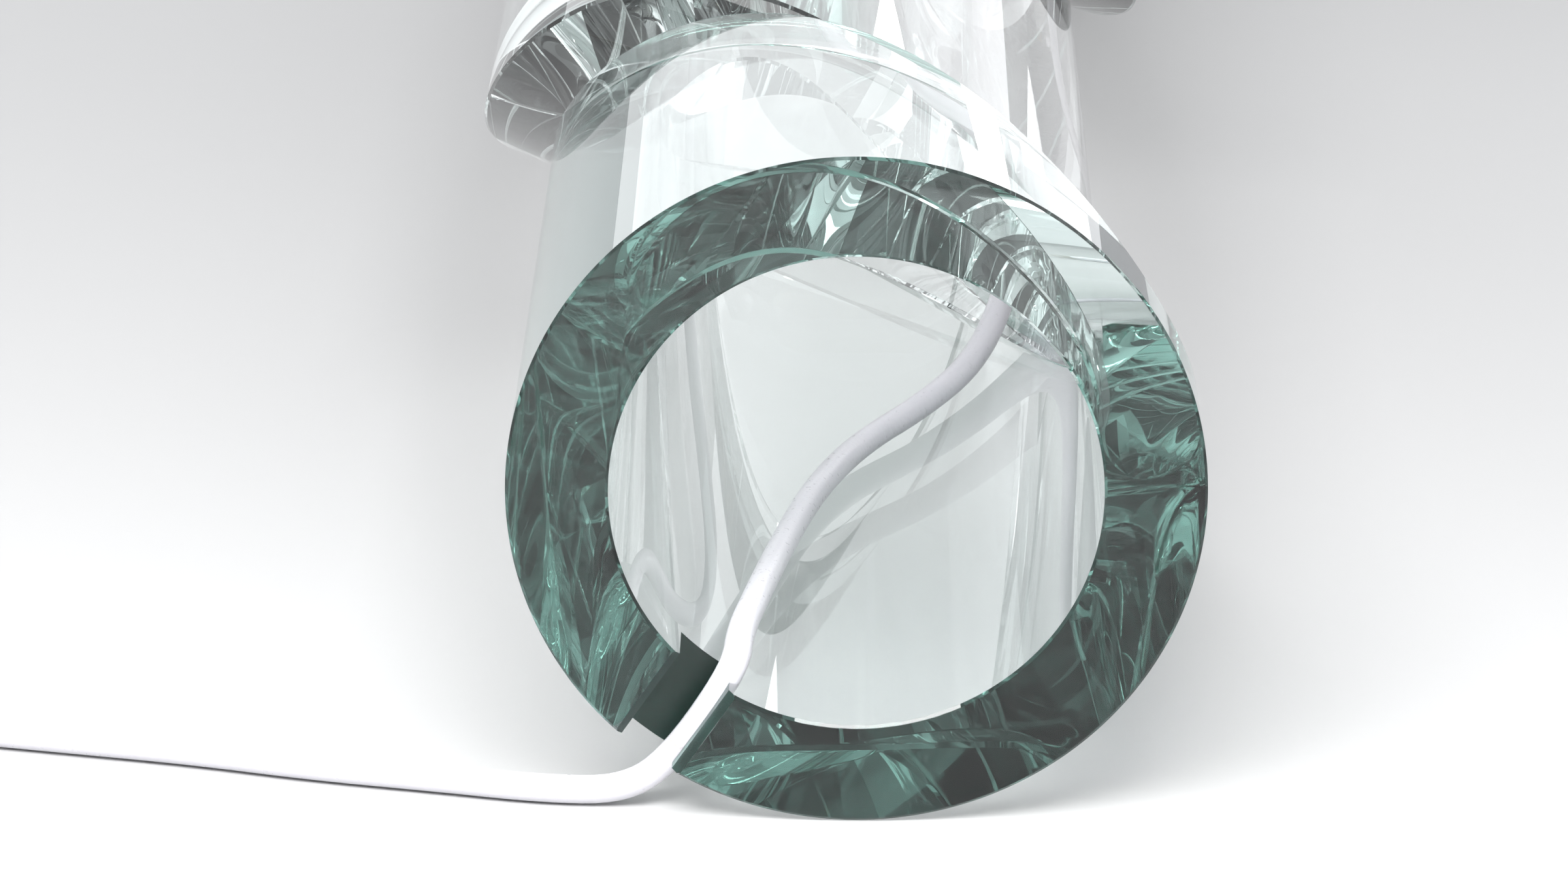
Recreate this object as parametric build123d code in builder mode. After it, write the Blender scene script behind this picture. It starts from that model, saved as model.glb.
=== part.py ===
from build123d import *
from math import cos, pi, radians, sin, sqrt, tan
import os

# Pole light made of three heavy glass tubes, lying on its side.
# Millimetres. Z is up, the pole runs along +Y from its notched base end,
# and the origin is on the ground under the middle of the pole's own box.

# Glass
glass_od = 150.0            # outside of every glass tube
glass_bore = 106.0          # inside of every glass tube
glass_length = 820.0        # base face to top face
segment_shift = 18.5        # sideways step of the middle tube
bore_shift = 3.0            # sideways step of the middle tube's bore
edge_bevel = 0.6            # ground bevel round the two end faces
joint_station = 158.0       # where the lower joint crosses the base tube's axis
joint_pitch = 340.0         # from the lower joint to the upper one
joint_rake_x = 96.0         # how far a joint runs back from the axis to the tube's left side
joint_rake_z = 167.25       # the same from the axis down to its underside
joint_hollow = 109.6875     # how far the saw cut has bowed back there

# Notch for the cord
notch_gap = 3.6             # between the cord and each wall of the notch
notch_depth = 15.0
notch_angle = 235.6         # seen from the base end, from +X towards +Z
notch_offset = 3.6          # the notch misses the axis by this much

# Top cap and the hardware in it
gasket_thickness = 2.0
cap_thickness = 12.0
spigot_depth = 14.0
spigot_gap = 1.5            # between the spigot and the bore
ring_gap = 0.2              # between the soft ring and the bore
ring_width = 5.0
ring_bite = 1.2             # groove depth in the spigot
ring_setback = 7.0          # from the glass's end face to the groove's middle
groove_gap = 0.05           # round the soft ring in its groove
knob_height = 18.0
knob_radius = 14.0
washer_thickness = 1.0
vent_count = 8
vent_radius = 3.5
vent_inset = 15.5           # from the spigot's outside to the vents' middles
nipple_radius = 4.9
nipple_bore = 3.5
nut_height = 5.0
nut_flats = 14.0
fit_gap = 0.05              # running clearance of the knob and nut on the nipple
pass_gap = 0.1              # round the nipple where it passes through
hollow_wall = 6.0           # spigot wall round the hollow

# Cord anchor and earth screw under the cap
bushing_length = 30.0
bushing_inset = 13.5        # from the spigot's outside to the cord anchor
bushing_grip = 1.35         # bushing wall under the bracket
bushing_lip = 1.5           # how far its flanges stand out
bushing_flange = 4.0        # behind the bracket
bracket_half_width = 8.0
bracket_drop = 19.5         # from the cap down to the bracket's plate
sheet = 1.5                 # bracket thickness
screw_radius = 1.5
screw_depth = 8.0           # blind holes in the cap
screw_head = 2.0
anchor_screw_pitch = 9.0
earth_inset = 10.0          # earth screw inside the ring of vents
earth_z = -14.0
earth_foot = 8.5            # from the earth screw to where its lead lands
lug_thickness = 0.8
lead_radius = 0.9

# Lampholder
holder_wall = 6.0           # porcelain round the threaded shell
holder_drop = 22.0          # from the cap down to the lampholder
nipple_grip = 5.0           # how far the nipple goes into it
holder_body_length = 35.5
holder_cap_length = 18.0
shell_radius = 13.6         # inside of the threaded shell
shell_wall = 0.4
shell_depth = 22.5
shell_lip = 2.5             # end ring of the shell
terminal_radius = 1.75
terminal_head_radius = 3.2
terminal_head = 2.2

# Lamp
shell_gap = 0.5             # between the lamp base and the shell
lamp_base_length = 24.0
lamp_length = 88.0          # housing and dome, without the screw base
lamp_radius = 31.0
lamp_wall = 1.6
dome_rise = 10.0
board_thickness = 1.6
emitter_count = 8

# Cord and plug
cord_diameter = 6.3
coil_diameter = 70.0        # middle of the turns
coil_columns = 3
coil_layers = 2
coil_x = -290.0             # coil centre, from the base tube's axis
coil_along = 75.0           # coil centre, from the base face
plug_width = 24.0
plug_height = 19.0
plug_length = 36.0
plug_relief_length = 30.0
blade_length = 17.5
blade_gap = 12.7
pin_length = 20.5

# Worked out from the above
glass_radius = glass_od / 2
bore_radius = glass_bore / 2
cord_radius = cord_diameter / 2
rake_x = joint_rake_x / glass_radius
rake_z = joint_rake_z / glass_radius
hollow = joint_hollow / glass_radius**2
overall_length = glass_length + gasket_thickness + cap_thickness + knob_height
base_face_y = -overall_length / 2
base_x = segment_shift / 2
spigot_radius = bore_radius - spigot_gap
lamp_base_radius = shell_radius - shell_gap
holder_radius = shell_radius + shell_wall + holder_wall
cap_underside = glass_length + gasket_thickness - spigot_depth
hollow_floor = glass_length + gasket_thickness
cap_outside = hollow_floor + cap_thickness
vent_circle = spigot_radius - vent_inset
bushing_drop = spigot_radius - bushing_inset
bushing_groove = cord_radius + bushing_grip
bushing_radius = bushing_groove + bushing_lip
anchor_screw_z = -bushing_drop + 1
earth_x = -vent_circle + earth_inset
notch_reach = 2 * glass_radius
notch_width = cord_diameter + 2 * notch_gap

os.makedirs("parts", exist_ok=True)


def place(x, along, z):
    """A point given from the base tube's axis and the base face."""
    return (base_x + x, base_face_y + along, glass_radius + z)


def across(along, x=0.0, z=0.0):
    """Plane square to the pole, facing the top, with local x to the right."""
    return Plane(origin=place(x, along, z), x_dir=(1, 0, 0), z_dir=(0, 1, 0))


def turn(*corners, x=0.0, z=0.0):
    """Turn a closed profile of (station, radius) corners about an axis along the pole."""
    with BuildSketch(Plane(origin=place(x, 0, z), x_dir=(0, 1, 0), z_dir=(0, 0, 1))) as profile:
        with BuildLine():
            Polyline(*corners, close=True)
        make_face()
    revolve(profile.sketch, axis=Axis(place(x, 0, z), (0, 1, 0)))


def tube(x, bore_x):
    """A heavy tube the length of the pole, with its bore beside its centre."""
    with BuildSketch(across(0, x)) as outline:
        Circle(glass_radius)
    extrude(outline.sketch, amount=glass_length)
    with BuildSketch(across(0, bore_x)) as bore:
        Circle(bore_radius)
    extrude(bore.sketch, amount=glass_length, mode=Mode.SUBTRACT)


def finish(piece, name):
    """Label a piece and write it."""
    piece.part.label = name
    export_step(piece.part, f"parts/{name}.step")


def past_joint(station):
    """Everything on the top side of a raked saw cut, as a tool."""
    half_height = glass_radius + 20
    side = glass_radius + segment_shift + 20
    bow = hollow * half_height**2
    low = (station + rake_z * half_height + bow, -half_height)
    middle = (station - bow, 0)
    high = (station - rake_z * half_height + bow, half_height)
    far = 2 * glass_length
    start = Plane(origin=place(-side, rake_x * side, 0), x_dir=(0, 1, 0), z_dir=(1, 0, 0))
    with BuildPart() as tool:
        with BuildSketch(start):
            with BuildLine():
                Bezier(low, middle, high)
                Polyline(high, (far, half_height), (far, -half_height), low)
            make_face()
        slant = Vector(1, -rake_x, 0)
        extrude(amount=2 * side * slant.length, dir=slant)
    return tool.part


lower_cut = past_joint(joint_station)
upper_cut = past_joint(joint_station + joint_pitch)

# Glass
with BuildPart() as glass_base_segment:
    tube(0, 0)
    add(lower_cut, mode=Mode.SUBTRACT)
    notch_direction = (cos(radians(notch_angle)), 0, sin(radians(notch_angle)))
    with BuildSketch(Plane(origin=place(0, 0, 0), x_dir=notch_direction, z_dir=(0, 1, 0))):
        with Locations((notch_reach / 2, -notch_offset)):
            Rectangle(notch_reach, notch_width)
    extrude(amount=notch_depth, mode=Mode.SUBTRACT)
    chamfer(glass_base_segment.edges().group_by(Axis.Y)[0], length=edge_bevel)
finish(glass_base_segment, "glass_base_segment")

with BuildPart() as glass_middle_segment:
    tube(-segment_shift, -bore_shift)
    add(lower_cut, mode=Mode.INTERSECT)
    add(upper_cut, mode=Mode.SUBTRACT)
finish(glass_middle_segment, "glass_middle_segment")

with BuildPart() as glass_top_segment:
    tube(0, 0)
    add(upper_cut, mode=Mode.INTERSECT)
    chamfer(glass_top_segment.edges().group_by(Axis.Y)[-1], length=edge_bevel)
finish(glass_top_segment, "glass_top_segment")

# Top cap
with BuildPart() as cap_gasket:
    turn(
        (glass_length, spigot_radius + 0.3),
        (glass_length, glass_radius - 2),
        (glass_length + gasket_thickness, glass_radius - 2),
        (glass_length + gasket_thickness, spigot_radius + 0.3),
    )
finish(cap_gasket, "cap_gasket")

ring_station = glass_length - ring_setback
with BuildPart() as top_cap:
    turn(
        (cap_underside, 0),
        (cap_underside, spigot_radius),
        (ring_station - ring_width / 2, spigot_radius),
        (ring_station - ring_width / 2, spigot_radius - ring_bite),
        (ring_station + ring_width / 2, spigot_radius - ring_bite),
        (ring_station + ring_width / 2, spigot_radius),
        (glass_length + gasket_thickness, spigot_radius),
        (glass_length + gasket_thickness, glass_radius),
        (cap_outside - 2, glass_radius),
        (cap_outside, glass_radius - 2),
        (cap_outside, 0),
    )
    # the underside is hollowed out so that the vents are short
    with BuildSketch(across(cap_underside)):
        Circle(spigot_radius - hollow_wall)
        Circle(2 * nipple_radius, mode=Mode.SUBTRACT)
    extrude(amount=spigot_depth, mode=Mode.SUBTRACT)
    with BuildSketch(across(cap_underside)):
        Circle(nipple_radius + pass_gap)
        with PolarLocations(vent_circle, vent_count, start_angle=22.5):
            Circle(vent_radius)
    extrude(amount=spigot_depth + cap_thickness, mode=Mode.SUBTRACT)
    # blind holes for the bracket's screws and the earth screw
    with BuildSketch(across(hollow_floor, 0, anchor_screw_z)):
        with GridLocations(anchor_screw_pitch, 1, 2, 1):
            Circle(screw_radius)
    extrude(amount=screw_depth, mode=Mode.SUBTRACT)
    with BuildSketch(across(hollow_floor, earth_x, earth_z)):
        Circle(screw_radius)
    extrude(amount=screw_depth, mode=Mode.SUBTRACT)
finish(top_cap, "top_cap")

with BuildPart() as spigot_ring:
    turn(
        (ring_station - ring_width / 2 + groove_gap, spigot_radius - ring_bite + groove_gap),
        (ring_station - ring_width / 2 + groove_gap, bore_radius - ring_gap - 0.6),
        (ring_station - 1, bore_radius - ring_gap),
        (ring_station + 1, bore_radius - ring_gap),
        (ring_station + ring_width / 2 - groove_gap, bore_radius - ring_gap - 0.6),
        (ring_station + ring_width / 2 - groove_gap, spigot_radius - ring_bite + groove_gap),
    )
finish(spigot_ring, "spigot_ring")

knob_station = cap_outside + washer_thickness
knob_end = cap_outside + knob_height
nipple_top = knob_end - 3.5
holder_top = cap_underside - holder_drop
nipple_foot = holder_top - nipple_grip
with BuildPart() as nipple:
    turn(
        (nipple_foot, nipple_bore),
        (nipple_foot, nipple_radius),
        (nipple_top - 0.5, nipple_radius),
        (nipple_top, nipple_radius - 0.5),
        (nipple_top, nipple_bore),
    )
finish(nipple, "nipple")

with BuildPart() as knob_washer:
    turn(
        (cap_outside, nipple_radius + pass_gap),
        (cap_outside, knob_radius - 2),
        (knob_station, knob_radius - 2),
        (knob_station, nipple_radius + pass_gap),
    )
finish(knob_washer, "knob_washer")

with BuildPart() as top_knob:
    turn(
        (knob_station + 0.1, nipple_radius + fit_gap),
        (knob_station + 0.1, knob_radius - 1),
        (knob_station + 1.1, knob_radius),
        (knob_end - 5, knob_radius),
        (knob_end - 1.5, knob_radius - 3),
        (knob_end, knob_radius - 6),
        (knob_end, 0),
        (nipple_top + 0.3, 0),
        (nipple_top + 0.3, nipple_radius + fit_gap),
    )
finish(top_knob, "top_knob")

with BuildPart() as nipple_nut:
    with BuildSketch(across(cap_underside - nut_height)):
        RegularPolygon(nut_flats / 2, 6, major_radius=False)
        Circle(nipple_radius + fit_gap, mode=Mode.SUBTRACT)
    extrude(amount=nut_height)
finish(nipple_nut, "nipple_nut")

# Lampholder
body_top = holder_top - holder_cap_length
body_mouth = body_top - holder_body_length
shell_mouth = body_mouth + 1
shell_end = shell_mouth + shell_depth
contact_seat = shell_end + 6
terminal_station = body_top - 3
with BuildPart() as holder_cap:
    turn(
        (holder_top, nipple_radius),
        (holder_top, nipple_radius + 3),
        (holder_top - 4, holder_radius - 6),
        (holder_top - 9, holder_radius),
        (body_top, holder_radius),
        (body_top, holder_radius - 1.5),
        (holder_top - 9.5, holder_radius - 1.5),
        (holder_top - 5.5, holder_radius - 7),
        (nipple_foot, nipple_radius + 2),
        (nipple_foot, nipple_radius),
    )
finish(holder_cap, "holder_cap")

with BuildPart() as holder_body:
    turn(
        (body_top, 0),
        (body_top, holder_radius),
        (body_mouth + 1, holder_radius),
        (body_mouth, holder_radius - 1),
        (body_mouth, shell_radius + shell_wall),
        (contact_seat, shell_radius + shell_wall),
        (contact_seat, 0),
    )
    for side in (-1, 1):
        with BuildSketch(Plane(origin=place(0, terminal_station, 0), z_dir=(side, 0, 0))):
            Circle(terminal_radius)
        extrude(amount=holder_radius + 1, mode=Mode.SUBTRACT)
finish(holder_body, "holder_body")

with BuildPart() as screw_shell:
    turn(
        (shell_mouth, shell_radius),
        (shell_mouth, shell_radius + shell_wall),
        (shell_end, shell_radius + shell_wall),
        (shell_end, shell_radius - shell_lip),
        (shell_end - shell_wall, shell_radius - shell_lip),
        (shell_end - shell_wall, shell_radius),
    )
finish(screw_shell, "screw_shell")

tip_station = contact_seat - 3
with BuildPart() as centre_contact:
    turn(
        (tip_station + 0.1, 0),
        (tip_station + 0.1, 2.6),
        (tip_station + 0.7, 3.4),
        (contact_seat, 3.4),
        (contact_seat, 0),
    )
finish(centre_contact, "centre_contact")

with BuildPart() as terminal_screws:
    for side in (-1, 1):
        outward = Plane(origin=place(0, terminal_station, 0), z_dir=(side, 0, 0))
        with BuildSketch(outward.offset(5)):
            Circle(terminal_radius)
        extrude(amount=holder_radius - 5)
        with BuildSketch(outward.offset(holder_radius)):
            Circle(terminal_head_radius)
        extrude(amount=terminal_head)
finish(terminal_screws, "terminal_screws")

# Lamp
base_end = tip_station - 4
neck = base_end - lamp_base_length
rim_station = neck - lamp_length + 10
board_station = rim_station + 9
with BuildPart() as lamp_housing:
    turn(
        (neck, 0),
        (neck, lamp_base_radius + 1.4),
        (neck - 9, lamp_base_radius + 2.4),
        (neck - 31, lamp_radius - 9),
        (rim_station + 19, lamp_radius - 1),
        (rim_station, lamp_radius),
        (rim_station, lamp_radius - lamp_wall),
        (rim_station + 19, lamp_radius - 1 - lamp_wall),
        (neck - 31, lamp_radius - 9 - lamp_wall),
        (neck - 9, lamp_base_radius + 2.4 - lamp_wall),
        (neck - 4, 0),
    )
finish(lamp_housing, "lamp_housing")

with BuildPart() as lamp_diffuser:
    with BuildSketch(Plane(origin=place(0, 0, 0), x_dir=(0, 1, 0), z_dir=(0, 0, 1))):
        with BuildLine():
            rim_outer = (rim_station, lamp_radius)
            rim_inner = (rim_station, lamp_radius - lamp_wall)
            front_outer = (rim_station - dome_rise, 0)
            front_inner = (rim_station - dome_rise + lamp_wall, 0)
            TangentArc(front_outer, rim_outer, tangent=(0, 1))
            Line(rim_outer, rim_inner)
            TangentArc(front_inner, rim_inner, tangent=(0, 1))
            Line(front_inner, front_outer)
        make_face()
    revolve(axis=Axis(place(0, 0, 0), (0, 1, 0)))
finish(lamp_diffuser, "lamp_diffuser")

board_radius = lamp_radius - lamp_wall - 1
with BuildPart() as lamp_board:
    turn(
        (board_station, 0),
        (board_station, board_radius),
        (board_station + board_thickness, board_radius),
        (board_station + board_thickness, 0),
    )
finish(lamp_board, "lamp_board")

with BuildPart() as lamp_emitters:
    with BuildSketch(across(board_station - 0.8)):
        with PolarLocations(0.62 * board_radius, emitter_count):
            Rectangle(3.5, 3.5)
    extrude(amount=0.8)
finish(lamp_emitters, "lamp_emitters")

with BuildPart() as lamp_screw_base:
    turn(
        (neck, lamp_base_radius - 0.8),
        (neck, lamp_base_radius),
        (base_end - 3, lamp_base_radius),
        (base_end, lamp_base_radius - 2),
        (base_end, lamp_base_radius - 2.6),
        (base_end - 3, lamp_base_radius - 0.8),
    )
finish(lamp_screw_base, "lamp_screw_base")

with BuildPart() as lamp_base_insulator:
    turn(
        (base_end - 4, 0),
        (base_end - 4, lamp_base_radius - 2.8),
        (base_end + 0.2, lamp_base_radius - 2.8),
        (base_end + 2.5, 5),
        (base_end + 2.5, 0),
    )
finish(lamp_base_insulator, "lamp_base_insulator")

with BuildPart() as lamp_tip_contact:
    turn(
        (base_end + 2.5, 0),
        (base_end + 2.5, 4),
        (tip_station - 0.4, 3.2),
        (tip_station, 1.5),
        (tip_station, 0),
    )
finish(lamp_tip_contact, "lamp_tip_contact")

# Cord anchor, leads
plate_station = cap_underside - bracket_drop
leg_height = -bushing_drop + 9.5
with BuildPart() as anchor_bracket:
    side_plane = Plane(origin=place(0, 0, 0), x_dir=(0, 1, 0), z_dir=(1, 0, 0))
    with BuildSketch(side_plane):
        with BuildLine():
            Polyline(
                (hollow_floor - sheet, -bushing_drop - 4),
                (hollow_floor, -bushing_drop - 4),
                (hollow_floor, leg_height),
                (plate_station, leg_height),
                (plate_station, -bushing_drop - 8),
                (plate_station + sheet, -bushing_drop - 8),
                (plate_station + sheet, leg_height - sheet),
                (hollow_floor - sheet, leg_height - sheet),
                close=True,
            )
        make_face()
    extrude(amount=bracket_half_width, both=True)
    with BuildSketch(across(plate_station, 0, -bushing_drop)):
        Circle(bushing_groove)
    extrude(amount=sheet, mode=Mode.SUBTRACT)
    with BuildSketch(across(hollow_floor - sheet, 0, anchor_screw_z)):
        with GridLocations(anchor_screw_pitch, 1, 2, 1):
            Circle(screw_radius)
    extrude(amount=sheet, mode=Mode.SUBTRACT)
finish(anchor_bracket, "anchor_bracket")

with BuildPart() as anchor_screws:
    with BuildSketch(across(hollow_floor - sheet - screw_head, 0, anchor_screw_z)):
        with GridLocations(anchor_screw_pitch, 1, 2, 1):
            Circle(2.8)
    extrude(amount=screw_head)
    with BuildSketch(across(hollow_floor - sheet, 0, anchor_screw_z)):
        with GridLocations(anchor_screw_pitch, 1, 2, 1):
            Circle(screw_radius)
    extrude(amount=sheet + screw_depth)
finish(anchor_screws, "anchor_screws")

bushing_back = plate_station + sheet + bushing_flange
bushing_end = bushing_back - bushing_length
with BuildPart() as cord_bushing:
    turn(
        (bushing_back, 0),
        (bushing_back, bushing_radius - 0.6),
        (plate_station + sheet, bushing_radius),
        (plate_station + sheet, bushing_groove),
        (plate_station, bushing_groove),
        (plate_station, bushing_radius),
        (plate_station - 5, bushing_radius - 0.4),
        (bushing_end, cord_radius + 0.7),
        (bushing_end, 0),
        z=-bushing_drop,
    )
finish(cord_bushing, "cord_bushing")

with BuildPart() as earth_screw:
    with BuildSketch(across(hollow_floor - lug_thickness - 2.2, earth_x, earth_z)):
        Circle(3.2)
    extrude(amount=2.2)
    with BuildSketch(across(hollow_floor - lug_thickness, earth_x, earth_z)):
        Circle(screw_radius)
    extrude(amount=lug_thickness + screw_depth)
finish(earth_screw, "earth_screw")

with BuildPart() as earth_lug:
    with BuildSketch(across(hollow_floor - lug_thickness, earth_x, earth_z)):
        Circle(3.8)
        with Locations((0, 6)):
            Rectangle(3.4, 8)
        Circle(screw_radius, mode=Mode.SUBTRACT)
    extrude(amount=lug_thickness)
finish(earth_lug, "earth_lug")

lead_start = bushing_back


def arc_radii(points):
    """The largest tangent arcs that a route's runs allow at its corners."""
    radii = []
    for before, corner, after in zip(points, points[1:], points[2:]):
        run_in = Vector(*corner) - Vector(*before)
        run_out = Vector(*after) - Vector(*corner)
        half_turn = radians(run_in.get_angle(run_out)) / 2
        radii.append(0.45 * min(run_in.length, run_out.length) / tan(half_turn))
    return radii


def lay_tube(points, radius):
    """A round tube along straight runs joined by tangent arcs."""
    with BuildLine() as route:
        FilletPolyline(*points, radius=arc_radii(points))
    start = Plane(origin=route.line @ 0, z_dir=route.line % 0)
    with BuildSketch(start) as section:
        Circle(radius)
    sweep(section.sketch, path=route.line)


def report(name, points, part, radius):
    """Print a route's bends and how well its tube's volume matches its length."""
    with BuildLine() as route:
        FilletPolyline(*points, radius=arc_radii(points))
    length = sum(edge.length for edge in route.edges())
    match = part.volume / (pi * radius**2 * length)
    bends = ", ".join(f"{bend:.0f}" for bend in arc_radii(points))
    print(f"{name}: {length:.0f} mm, volume match {match:.4f}, bend radii {bends}")


# live and neutral go round the bracket to the terminal screws
for side, name in ((1, "live_lead"), (-1, "neutral_lead")):
    screw_face = holder_radius + terminal_head + lead_radius
    lead_route = [
        place(side * 2.2, lead_start, -bushing_drop),
        place(side * 2.2, lead_start + 4, -bushing_drop),
        place(side * 9, lead_start + 7, -bushing_drop + 1),
        place(side * 17, lead_start + 3, -bushing_drop + 9),
        place(side * 23, lead_start - 8, -bushing_drop + 19),
        place(side * (screw_face + 1), lead_start - 19, -bushing_drop + 29),
        place(side * screw_face, terminal_station, -4),
        place(side * screw_face, terminal_station - 4, 1),
    ]
    with BuildPart() as lead:
        lay_tube(lead_route, lead_radius)
    finish(lead, name)

earth_route = [
    place(0, lead_start, -bushing_drop),
    place(0, lead_start + 5, -bushing_drop),
    place(-6, lead_start + 10, -bushing_drop - 1),
    place(earth_x + 12, lead_start + 14, -bushing_drop + 3),
    place(earth_x + 5, lead_start + 18, -bushing_drop + 10),
    place(earth_x, hollow_floor - 5, earth_z - earth_foot),
    place(earth_x, hollow_floor - lug_thickness, earth_z - earth_foot),
]
with BuildPart() as earth_lead:
    lay_tube(earth_route, lead_radius)
finish(earth_lead, "earth_lead")

# Mains cord
ground = -glass_radius
on_ground = ground + cord_radius
cord_route = [
    place(0, bushing_end, -bushing_drop),
    place(0, bushing_end - 24, -bushing_drop),
    place(1.5, 706, -45),
    place(3, 655, -48),
    place(1, 588, -48.3),
    place(4, 512, -47.9),
    place(14, 441, -44.9),
    place(25, 380, -37.6),
    place(34, 328, -26.8),
    place(38.6, 282, -18.8),
    place(39.2, 246, -20),
    place(35.8, 222, -28.5),
    place(28.2, 207, -39.3),
    place(15.5, 194, -45.9),
    place(1, 175, -48.6),
    place(-9.5, 141, -47.9),
    place(-17, 95, -45.7),
    place(-22.5, 52, -43.2),
    place(-25.3, 26, -41.1),
    place(-26, 7.6, -42.7),
    place(-40, 8, -64),
    place(-50.5, 9.5, on_ground),
    place(-68, 10, on_ground),
    place(-91, 16, on_ground),
    place(-119, 22.5, on_ground),
    place(-147, 31.5, on_ground),
    place(-177, 38.5, on_ground),
    place(-208, 46, on_ground),
    place(-238, 45, on_ground),
    place(-264, 36, on_ground),
    place(coil_x + 4, coil_along - coil_diameter / 2 - cord_diameter, on_ground),
]
with BuildPart() as cord:
    lay_tube(cord_route, cord_radius)
finish(cord, "cord")
report("cord", cord_route, cord.part, cord_radius)

coil_outer = coil_diameter / 2 + coil_columns * cord_radius
coil_inner = coil_diameter / 2 - coil_columns * cord_radius
coil_height = coil_layers * cord_diameter
with BuildPart() as cord_coil:
    with BuildSketch(Plane(origin=place(coil_x, coil_along, ground), z_dir=(0, 0, 1))):
        Circle(coil_outer)
        Circle(coil_inner, mode=Mode.SUBTRACT)
    extrude(amount=coil_height)
    fillet(cord_coil.edges().filter_by(GeomType.CIRCLE), radius=cord_radius - 0.2)
finish(cord_coil, "cord_coil")

plug_axis = ground + plug_height / 2
tail_x = coil_x - coil_diameter / 2 - cord_diameter
top_turn = ground + coil_height - cord_radius
plug_x = coil_x - 30
relief_along = coil_along + 108
tail_route = [
    place(tail_x, coil_along - 3, top_turn),
    place(tail_x + 0.5, coil_along + 18, top_turn - 1.5),
    place(tail_x + 2, coil_along + 44, on_ground + 1),
    place(tail_x + 6, coil_along + 70, on_ground + 2),
    place(plug_x, relief_along - 16, plug_axis),
    place(plug_x, relief_along, plug_axis),
]
with BuildPart() as cord_tail:
    lay_tube(tail_route, cord_radius)
finish(cord_tail, "cord_tail")
report("cord_tail", tail_route, cord_tail.part, cord_radius)

with BuildPart() as plug_relief:
    turn(
        (relief_along, 0),
        (relief_along, cord_radius + 0.7),
        (relief_along + plug_relief_length, cord_radius + 2.6),
        (relief_along + plug_relief_length, 0),
        x=plug_x,
        z=plug_axis,
    )
finish(plug_relief, "plug_relief")

plug_back = relief_along + plug_relief_length
plug_face = plug_back + plug_length
with BuildPart() as plug_body:
    with BuildSketch(across(plug_back, plug_x, plug_axis)):
        RectangleRounded(plug_width - 7, plug_height - 6, 5)
    with BuildSketch(across(plug_back + 12, plug_x, plug_axis)):
        RectangleRounded(plug_width, plug_height, 6)
    loft()
    with BuildSketch(across(plug_back + 12, plug_x, plug_axis)):
        RectangleRounded(plug_width, plug_height, 6)
    extrude(amount=plug_length - 12)
finish(plug_body, "plug_body")

with BuildPart() as plug_blades:
    with BuildSketch(across(plug_face, plug_x, plug_axis - 2.5)):
        with GridLocations(blade_gap, 1, 2, 1):
            Rectangle(1.5, 6.3)
    extrude(amount=blade_length)
    chamfer(plug_blades.edges().filter_by(Axis.Z).group_by(Axis.Y)[-1], length=0.6)
finish(plug_blades, "plug_blades")

with BuildPart() as plug_ground_pin:
    with BuildSketch(across(plug_face, plug_x, plug_axis + 4.8)):
        Circle(2.4)
    extrude(amount=pin_length)
    fillet(plug_ground_pin.edges().group_by(Axis.Y)[-1], radius=1.8)
finish(plug_ground_pin, "plug_ground_pin")
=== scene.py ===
import math

import bmesh
import bpy
import numpy as np
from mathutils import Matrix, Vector


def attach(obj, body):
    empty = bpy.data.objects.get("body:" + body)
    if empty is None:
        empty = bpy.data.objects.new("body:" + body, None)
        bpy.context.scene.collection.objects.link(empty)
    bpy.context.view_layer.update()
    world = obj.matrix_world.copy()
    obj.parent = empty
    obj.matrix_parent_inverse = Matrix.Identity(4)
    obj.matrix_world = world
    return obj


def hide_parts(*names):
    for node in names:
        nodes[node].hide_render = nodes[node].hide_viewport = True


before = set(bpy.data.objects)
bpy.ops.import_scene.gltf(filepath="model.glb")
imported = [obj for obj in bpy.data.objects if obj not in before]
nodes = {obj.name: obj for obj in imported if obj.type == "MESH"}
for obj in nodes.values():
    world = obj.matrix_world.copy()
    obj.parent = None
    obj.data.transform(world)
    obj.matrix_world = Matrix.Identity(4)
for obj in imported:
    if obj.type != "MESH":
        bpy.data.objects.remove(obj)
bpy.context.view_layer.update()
print("frame loaded:", len(nodes), "parts")

# Metres. The pole lies along +Y with its notched base end towards the camera.
pole = {
    "axisX": 0.00925,
    "axisZ": 0.075,
    "baseY": -0.426,
    "radius": 0.075,
    "bore": 0.053,
    "length": 0.820,
}


def place(x, along, z):  # x and z from the base tube's axis, along from the base face, all in mm
    return Vector((pole["axisX"] + x / 1000, pole["baseY"] + along / 1000, pole["axisZ"] + z / 1000))


def addPiece(name, mesh, body="root"):
    piece = bpy.data.objects.new(name, mesh)
    bpy.context.scene.collection.objects.link(piece)
    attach(piece, body)
    return piece


cameraSetup = {
    "spot": (0.00925, -1.7874, 0.5555),
    "aim": (-0.0062, -0.42221, 0.08574),
    "lens": 155.4,
    "sensor": 36,
    "nearest": 0.05,
    "farthest": 60,
}


def makeCamera():
    data = bpy.data.cameras.new("camera")
    data.lens = cameraSetup["lens"]
    data.sensor_width = cameraSetup["sensor"]
    data.clip_start = cameraSetup["nearest"]
    data.clip_end = cameraSetup["farthest"]
    eye = bpy.data.objects.new("camera", data)
    bpy.context.scene.collection.objects.link(eye)
    eye.location = cameraSetup["spot"]
    gaze = Vector(cameraSetup["aim"]) - eye.location
    eye.rotation_euler = gaze.to_track_quat("-Z", "Y").to_euler()
    bpy.context.scene.camera = eye


makeCamera()
print("camera placed")


def newMaterial(name):
    made = bpy.data.materials.new(name)
    made.use_nodes = True
    tree = made.node_tree
    shader = tree.nodes["Principled BSDF"]
    return made, tree, shader


def link(tree, source, target):
    tree.links.new(source, target)


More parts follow.
